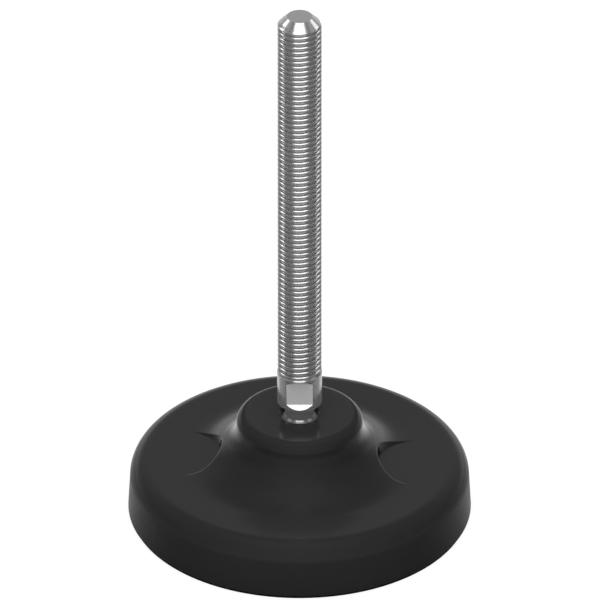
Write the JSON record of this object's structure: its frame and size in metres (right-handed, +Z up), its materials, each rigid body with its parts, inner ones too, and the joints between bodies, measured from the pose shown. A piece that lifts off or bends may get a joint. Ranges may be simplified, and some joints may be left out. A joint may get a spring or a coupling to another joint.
{
  "type": "swivel foot",
  "caption": "Levelling foot with a round moulded base, a threaded steel spindle on a ball joint and a rubber anti-slip pad underneath.",
  "frame": {"origin": "centre of the footprint, on the floor, below the ball joint", "axes": "+Z up along the upright spindle; X through the two fixing wells; Y completes a right-handed frame"},
  "size_m": [0.123, 0.123, 0.206],
  "materials": {
    "base": "fine satin",
    "spindle": "turned",
    "anti_slip_pad": "matt"
  },
  "bodies": {
    "foot": {"base": "base", "anti_slip_pad": "anti_slip_pad"},
    "spindle": {"spindle": "spindle"}
  },
  "joints": [
    {"name": "ball_tilt", "type": "hinge", "parent": "foot", "child": "spindle", "pos_m": [0, 0, 0.0353], "axis": [0, 1, 0], "range_deg": [-15, 15]}
  ]
}
